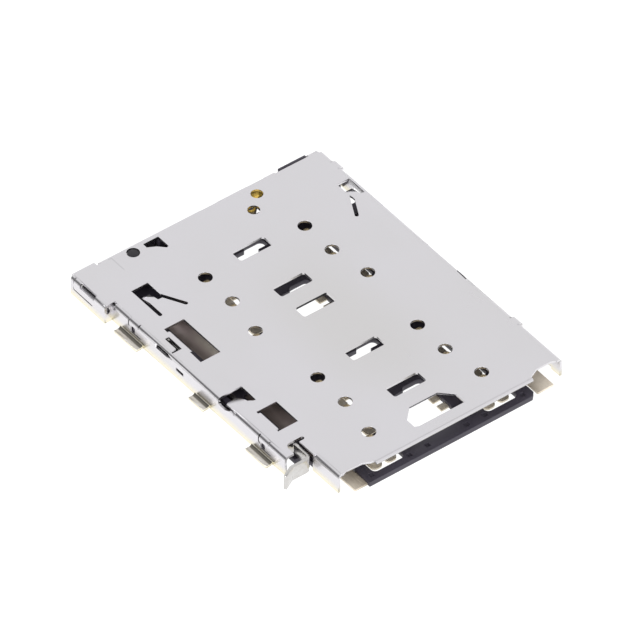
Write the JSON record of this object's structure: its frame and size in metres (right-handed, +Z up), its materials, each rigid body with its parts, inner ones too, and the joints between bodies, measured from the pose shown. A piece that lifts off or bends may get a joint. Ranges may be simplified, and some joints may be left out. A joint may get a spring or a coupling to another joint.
{
  "type": "sim card socket",
  "caption": "Low board-mounted tray socket for small chip cards: folded metal shell over a moulded base with spring contacts, a detect switch and a push-rod ejector.",
  "frame": {"origin": "middle of the contact field on the board plane, under the housing", "axes": "+X across the socket, +Y from the mouth to the back, +Z up from the board"},
  "size_m": [0.0187, 0.0233, 0.0014],
  "materials": {
    "shell_steel": "satin rolled stainless steel",
    "black_moulding": "moulded liquid crystal polymer",
    "inlay_metal": "thin plated copper alloy",
    "contact_metal": "thin gold plate over a copper alloy",
    "ejector_steel": "satin stainless steel"
  },
  "bodies": {
    "socket": {"shell": "shell_steel", "housing": "black_moulding", "left_rail": "inlay_metal", "right_rail": "inlay_metal", "detect_spring": "contact_metal", "detect_terminal": "contact_metal", "contact_front_left_1": "contact_metal", "contact_front_left_2": "contact_metal", "contact_front_left_3": "contact_metal", "contact_front_right_1": "contact_metal", "contact_front_right_2": "contact_metal", "contact_front_right_3": "contact_metal", "contact_back_left_1": "contact_metal", "contact_back_left_2": "contact_metal", "contact_back_left_3": "contact_metal", "contact_back_right_1": "contact_metal", "contact_back_right_2": "contact_metal", "contact_back_right_3": "contact_metal"},
    "push_rod": {"push_rod": "ejector_steel"},
    "eject_lever": {"eject_lever": "ejector_steel"}
  },
  "joints": [
    {"name": "rod_slide", "type": "slide", "parent": "socket", "child": "push_rod", "axis": [0, -1, 0], "range_m": [0, 0.00153]},
    {"name": "lever_pivot", "type": "hinge", "parent": "socket", "child": "eject_lever", "pos_m": [-0.00558, 0.01207, 0.00077], "axis": [0, 0, 1], "range_deg": [0, 31.1]}
  ],
  "couplings": [
    {"joint": "lever_pivot", "follows": "rod_slide", "rad_per_m": 353.6}
  ]
}
